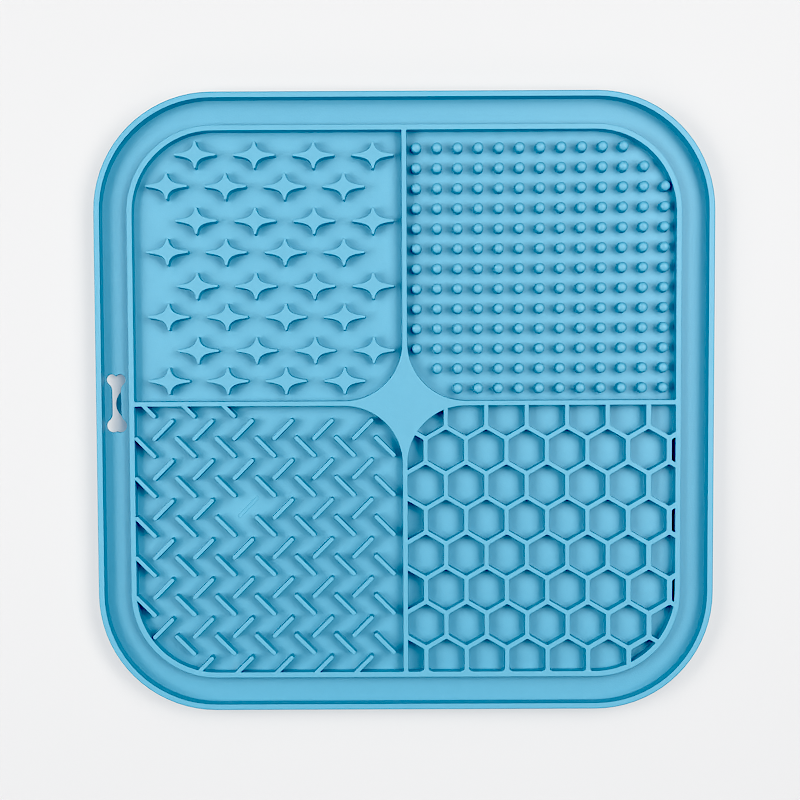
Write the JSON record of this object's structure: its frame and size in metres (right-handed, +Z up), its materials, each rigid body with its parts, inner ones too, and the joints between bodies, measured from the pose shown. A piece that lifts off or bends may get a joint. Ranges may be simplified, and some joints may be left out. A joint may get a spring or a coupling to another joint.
{
  "type": "slow feeder lick mat",
  "caption": "Square silicone lick mat with rounded corners, a raised rim, a gutter, textured compartments of stars, nubs, ridges and honeycomb, and a bone-shaped hang slot.",
  "frame": {"origin": "centre of the flat underside, which is the bottom centre of the bounding box", "axes": "+Z up from the surface that the mat lies on, +Y to the edge above the star compartment, -X to the edge with the bone-shaped slot"},
  "size_m": [0.2, 0.2, 0.009],
  "materials": {
    "silicone": "light blue moulded silicone, satin and slightly soft to the eye"
  },
  "bodies": {
    "root": {"mat": "silicone", "slot_strip": "silicone"}
  },
  "joints": []
}
